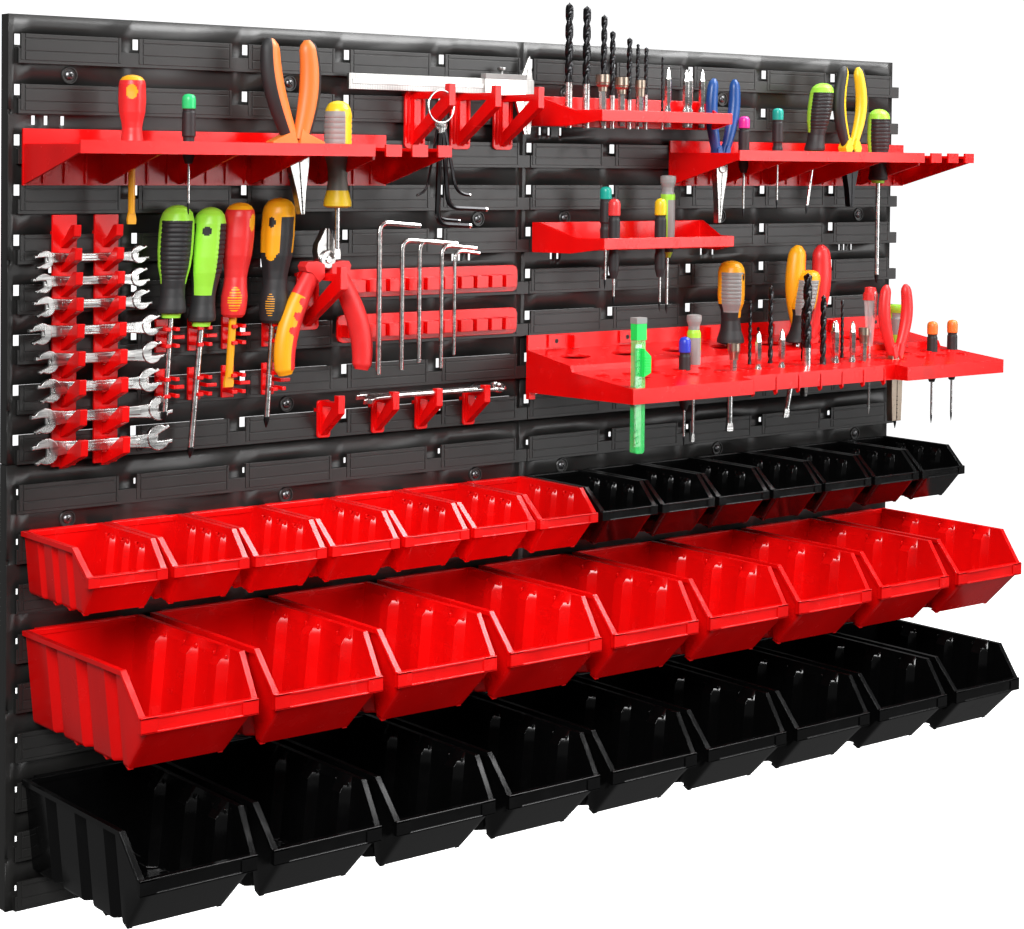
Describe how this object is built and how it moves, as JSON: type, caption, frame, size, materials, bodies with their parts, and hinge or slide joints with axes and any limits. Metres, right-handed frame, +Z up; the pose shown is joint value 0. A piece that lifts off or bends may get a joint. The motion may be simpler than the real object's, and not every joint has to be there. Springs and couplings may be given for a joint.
{
  "type": "wall-mounted tool board",
  "caption": "Slotted plastic wall board with hook-on storage bins, tool shelves, a pierced tool tray, wrench racks, hex-key rails and triangular hooks.",
  "frame": {"origin": "centre of the board's back plane, where the four panels meet", "axes": "+X to the right along the board, -Y out of its front, +Z up"},
  "size_m": [1.1637, 0.2235, 0.8187],
  "materials": {
    "board_plastic": "satin moulded plastic with a fine grain",
    "red_plastic": "semi-gloss injection-moulded plastic",
    "black_plastic": "glossy injection-moulded plastic",
    "drill_steel": "bright ground steel",
    "cutter_grip": "dipped soft grip over forged steel"
  },
  "bodies": {
    "board": {"panel_lower_left": "board_plastic", "panel_lower_right": "board_plastic", "panel_upper_left": "board_plastic", "panel_upper_right": "board_plastic"},
    "small_bin_red_1": {"small_bin_red_1": "red_plastic"},
    "small_bin_red_2": {"small_bin_red_2": "red_plastic"},
    "small_bin_red_3": {"small_bin_red_3": "red_plastic"},
    "small_bin_red_4": {"small_bin_red_4": "red_plastic"},
    "small_bin_red_5": {"small_bin_red_5": "red_plastic"},
    "small_bin_red_6": {"small_bin_red_6": "red_plastic"},
    "small_bin_red_7": {"small_bin_red_7": "red_plastic"},
    "small_bin_black_1": {"small_bin_black_1": "black_plastic"},
    "small_bin_black_2": {"small_bin_black_2": "black_plastic"},
    "small_bin_black_3": {"small_bin_black_3": "black_plastic"},
    "small_bin_black_4": {"small_bin_black_4": "black_plastic"},
    "small_bin_black_5": {"small_bin_black_5": "black_plastic"},
    "small_bin_black_6": {"small_bin_black_6": "black_plastic"},
    "small_bin_black_7": {"small_bin_black_7": "black_plastic"},
    "large_bin_red_1": {"large_bin_red_1": "red_plastic"},
    "large_bin_red_2": {"large_bin_red_2": "red_plastic"},
    "large_bin_red_3": {"large_bin_red_3": "red_plastic"},
    "large_bin_red_4": {"large_bin_red_4": "red_plastic"},
    "large_bin_red_5": {"large_bin_red_5": "red_plastic"},
    "large_bin_red_6": {"large_bin_red_6": "red_plastic"},
    "large_bin_red_7": {"large_bin_red_7": "red_plastic"},
    "large_bin_red_8": {"large_bin_red_8": "red_plastic"},
    "large_bin_red_9": {"large_bin_red_9": "red_plastic"},
    "large_bin_black_1": {"large_bin_black_1": "black_plastic"},
    "large_bin_black_2": {"large_bin_black_2": "black_plastic"},
    "large_bin_black_3": {"large_bin_black_3": "black_plastic"},
    "large_bin_black_4": {"large_bin_black_4": "black_plastic"},
    "large_bin_black_5": {"large_bin_black_5": "black_plastic"},
    "large_bin_black_6": {"large_bin_black_6": "black_plastic"},
    "large_bin_black_7": {"large_bin_black_7": "black_plastic"},
    "large_bin_black_8": {"large_bin_black_8": "black_plastic"},
    "large_bin_black_9": {"large_bin_black_9": "black_plastic"},
    "long_shelf_left": {"long_shelf_left": "red_plastic"},
    "long_shelf_right": {"long_shelf_right": "red_plastic"},
    "bit_shelf_upper": {"bit_shelf_upper": "red_plastic", "tall_drill_1": "drill_steel", "tall_drill_2": "drill_steel"},
    "bit_shelf_lower": {"bit_shelf_lower": "red_plastic"},
    "tool_tray": {"tool_tray": "red_plastic"},
    "wrench_rack_left": {"wrench_rack_left": "red_plastic"},
    "wrench_rack_right": {"wrench_rack_right": "red_plastic"},
    "key_rail_upper": {"key_rail_upper": "red_plastic"},
    "key_rail_lower": {"key_rail_lower": "red_plastic"},
    "large_hook_1": {"large_hook_1": "red_plastic"},
    "large_hook_2": {"large_hook_2": "red_plastic"},
    "large_hook_3": {"large_hook_3": "red_plastic"},
    "large_hook_4": {"large_hook_4": "red_plastic"},
    "small_hook_1": {"small_hook_1": "red_plastic"},
    "small_hook_2": {"small_hook_2": "red_plastic"},
    "small_hook_3": {"small_hook_3": "red_plastic"},
    "small_hook_4": {"small_hook_4": "red_plastic"},
    "cutter_left": {"cutter_half_left": "cutter_grip"},
    "cutter_right": {"cutter_half_right": "cutter_grip"}
  },
  "joints": [
    {"name": "small_bin_red_1_lift", "type": "slide", "parent": "board", "child": "small_bin_red_1", "axis": [0, 0, 1], "range_m": [0, 0.011]},
    {"name": "small_bin_red_2_lift", "type": "slide", "parent": "board", "child": "small_bin_red_2", "axis": [0, 0, 1], "range_m": [0, 0.011]},
    {"name": "small_bin_red_3_lift", "type": "slide", "parent": "board", "child": "small_bin_red_3", "axis": [0, 0, 1], "range_m": [0, 0.011]},
    {"name": "small_bin_red_4_lift", "type": "slide", "parent": "board", "child": "small_bin_red_4", "axis": [0, 0, 1], "range_m": [0, 0.011]},
    {"name": "small_bin_red_5_lift", "type": "slide", "parent": "board", "child": "small_bin_red_5", "axis": [0, 0, 1], "range_m": [0, 0.011]},
    {"name": "small_bin_red_6_lift", "type": "slide", "parent": "board", "child": "small_bin_red_6", "axis": [0, 0, 1], "range_m": [0, 0.011]},
    {"name": "small_bin_red_7_lift", "type": "slide", "parent": "board", "child": "small_bin_red_7", "axis": [0, 0, 1], "range_m": [0, 0.011]},
    {"name": "small_bin_black_1_lift", "type": "slide", "parent": "board", "child": "small_bin_black_1", "axis": [0, 0, 1], "range_m": [0, 0.011]},
    {"name": "small_bin_black_2_lift", "type": "slide", "parent": "board", "child": "small_bin_black_2", "axis": [0, 0, 1], "range_m": [0, 0.011]},
    {"name": "small_bin_black_3_lift", "type": "slide", "parent": "board", "child": "small_bin_black_3", "axis": [0, 0, 1], "range_m": [0, 0.011]},
    {"name": "small_bin_black_4_lift", "type": "slide", "parent": "board", "child": "small_bin_black_4", "axis": [0, 0, 1], "range_m": [0, 0.011]},
    {"name": "small_bin_black_5_lift", "type": "slide", "parent": "board", "child": "small_bin_black_5", "axis": [0, 0, 1], "range_m": [0, 0.011]},
    {"name": "small_bin_black_6_lift", "type": "slide", "parent": "board", "child": "small_bin_black_6", "axis": [0, 0, 1], "range_m": [0, 0.011]},
    {"name": "small_bin_black_7_lift", "type": "slide", "parent": "board", "child": "small_bin_black_7", "axis": [0, 0, 1], "range_m": [0, 0.011]},
    {"name": "large_bin_red_1_lift", "type": "slide", "parent": "board", "child": "large_bin_red_1", "axis": [0, 0, 1], "range_m": [0, 0.011]},
    {"name": "large_bin_red_2_lift", "type": "slide", "parent": "board", "child": "large_bin_red_2", "axis": [0, 0, 1], "range_m": [0, 0.011]},
    {"name": "large_bin_red_3_lift", "type": "slide", "parent": "board", "child": "large_bin_red_3", "axis": [0, 0, 1], "range_m": [0, 0.011]},
    {"name": "large_bin_red_4_lift", "type": "slide", "parent": "board", "child": "large_bin_red_4", "axis": [0, 0, 1], "range_m": [0, 0.011]},
    {"name": "large_bin_red_5_lift", "type": "slide", "parent": "board", "child": "large_bin_red_5", "axis": [0, 0, 1], "range_m": [0, 0.011]},
    {"name": "large_bin_red_6_lift", "type": "slide", "parent": "board", "child": "large_bin_red_6", "axis": [0, 0, 1], "range_m": [0, 0.011]},
    {"name": "large_bin_red_7_lift", "type": "slide", "parent": "board", "child": "large_bin_red_7", "axis": [0, 0, 1], "range_m": [0, 0.011]},
    {"name": "large_bin_red_8_lift", "type": "slide", "parent": "board", "child": "large_bin_red_8", "axis": [0, 0, 1], "range_m": [0, 0.011]},
    {"name": "large_bin_red_9_lift", "type": "slide", "parent": "board", "child": "large_bin_red_9", "axis": [0, 0, 1], "range_m": [0, 0.011]},
    {"name": "large_bin_black_1_lift", "type": "slide", "parent": "board", "child": "large_bin_black_1", "axis": [0, 0, 1], "range_m": [0, 0.011]},
    {"name": "large_bin_black_2_lift", "type": "slide", "parent": "board", "child": "large_bin_black_2", "axis": [0, 0, 1], "range_m": [0, 0.011]},
    {"name": "large_bin_black_3_lift", "type": "slide", "parent": "board", "child": "large_bin_black_3", "axis": [0, 0, 1], "range_m": [0, 0.011]},
    {"name": "large_bin_black_4_lift", "type": "slide", "parent": "board", "child": "large_bin_black_4", "axis": [0, 0, 1], "range_m": [0, 0.011]},
    {"name": "large_bin_black_5_lift", "type": "slide", "parent": "board", "child": "large_bin_black_5", "axis": [0, 0, 1], "range_m": [0, 0.011]},
    {"name": "large_bin_black_6_lift", "type": "slide", "parent": "board", "child": "large_bin_black_6", "axis": [0, 0, 1], "range_m": [0, 0.011]},
    {"name": "large_bin_black_7_lift", "type": "slide", "parent": "board", "child": "large_bin_black_7", "axis": [0, 0, 1], "range_m": [0, 0.011]},
    {"name": "large_bin_black_8_lift", "type": "slide", "parent": "board", "child": "large_bin_black_8", "axis": [0, 0, 1], "range_m": [0, 0.011]},
    {"name": "large_bin_black_9_lift", "type": "slide", "parent": "board", "child": "large_bin_black_9", "axis": [0, 0, 1], "range_m": [0, 0.011]},
    {"name": "long_shelf_left_lift", "type": "slide", "parent": "board", "child": "long_shelf_left", "axis": [0, 0, 1], "range_m": [0, 0.011]},
    {"name": "long_shelf_right_lift", "type": "slide", "parent": "board", "child": "long_shelf_right", "axis": [0, 0, 1], "range_m": [0, 0.011]},
    {"name": "bit_shelf_upper_lift", "type": "slide", "parent": "board", "child": "bit_shelf_upper", "axis": [0, 0, 1], "range_m": [0, 0.011]},
    {"name": "bit_shelf_lower_lift", "type": "slide", "parent": "board", "child": "bit_shelf_lower", "axis": [0, 0, 1], "range_m": [0, 0.011]},
    {"name": "tool_tray_lift", "type": "slide", "parent": "board", "child": "tool_tray", "axis": [0, 0, 1], "range_m": [0, 0.011]},
    {"name": "wrench_rack_left_lift", "type": "slide", "parent": "board", "child": "wrench_rack_left", "axis": [0, 0, 1], "range_m": [0, 0.011]},
    {"name": "wrench_rack_right_lift", "type": "slide", "parent": "board", "child": "wrench_rack_right", "axis": [0, 0, 1], "range_m": [0, 0.011]},
    {"name": "key_rail_upper_lift", "type": "slide", "parent": "board", "child": "key_rail_upper", "axis": [0, 0, 1], "range_m": [0, 0.011]},
    {"name": "key_rail_lower_lift", "type": "slide", "parent": "board", "child": "key_rail_lower", "axis": [0, 0, 1], "range_m": [0, 0.011]},
    {"name": "large_hook_1_lift", "type": "slide", "parent": "board", "child": "large_hook_1", "axis": [0, 0, 1], "range_m": [0, 0.011]},
    {"name": "large_hook_2_lift", "type": "slide", "parent": "board", "child": "large_hook_2", "axis": [0, 0, 1], "range_m": [0, 0.011]},
    {"name": "large_hook_3_lift", "type": "slide", "parent": "board", "child": "large_hook_3", "axis": [0, 0, 1], "range_m": [0, 0.011]},
    {"name": "large_hook_4_lift", "type": "slide", "parent": "board", "child": "large_hook_4", "axis": [0, 0, 1], "range_m": [0, 0.011]},
    {"name": "small_hook_1_lift", "type": "slide", "parent": "board", "child": "small_hook_1", "axis": [0, 0, 1], "range_m": [0, 0.011]},
    {"name": "small_hook_2_lift", "type": "slide", "parent": "board", "child": "small_hook_2", "axis": [0, 0, 1], "range_m": [0, 0.011]},
    {"name": "small_hook_3_lift", "type": "slide", "parent": "board", "child": "small_hook_3", "axis": [0, 0, 1], "range_m": [0, 0.011]},
    {"name": "small_hook_4_lift", "type": "slide", "parent": "board", "child": "small_hook_4", "axis": [0, 0, 1], "range_m": [0, 0.011]},
    {"name": "cutter_left_lift", "type": "slide", "parent": "large_hook_4", "child": "cutter_left", "axis": [0, 0, 1], "range_m": [0, 0.03]},
    {"name": "cutter_pivot", "type": "hinge", "parent": "cutter_left", "child": "cutter_right", "pos_m": [-0.27, -0.05, 0.17318], "axis": [0, -1, 0], "range_deg": [-12, 14]}
  ],
  "couplings": [
    {"joint": "wrench_rack_right_lift", "follows": "wrench_rack_left_lift", "ratio": 1},
    {"joint": "large_hook_2_lift", "follows": "large_hook_1_lift", "ratio": 1},
    {"joint": "large_hook_3_lift", "follows": "large_hook_1_lift", "ratio": 1},
    {"joint": "small_hook_3_lift", "follows": "small_hook_2_lift", "ratio": 1},
    {"joint": "small_hook_4_lift", "follows": "small_hook_2_lift", "ratio": 1}
  ]
}
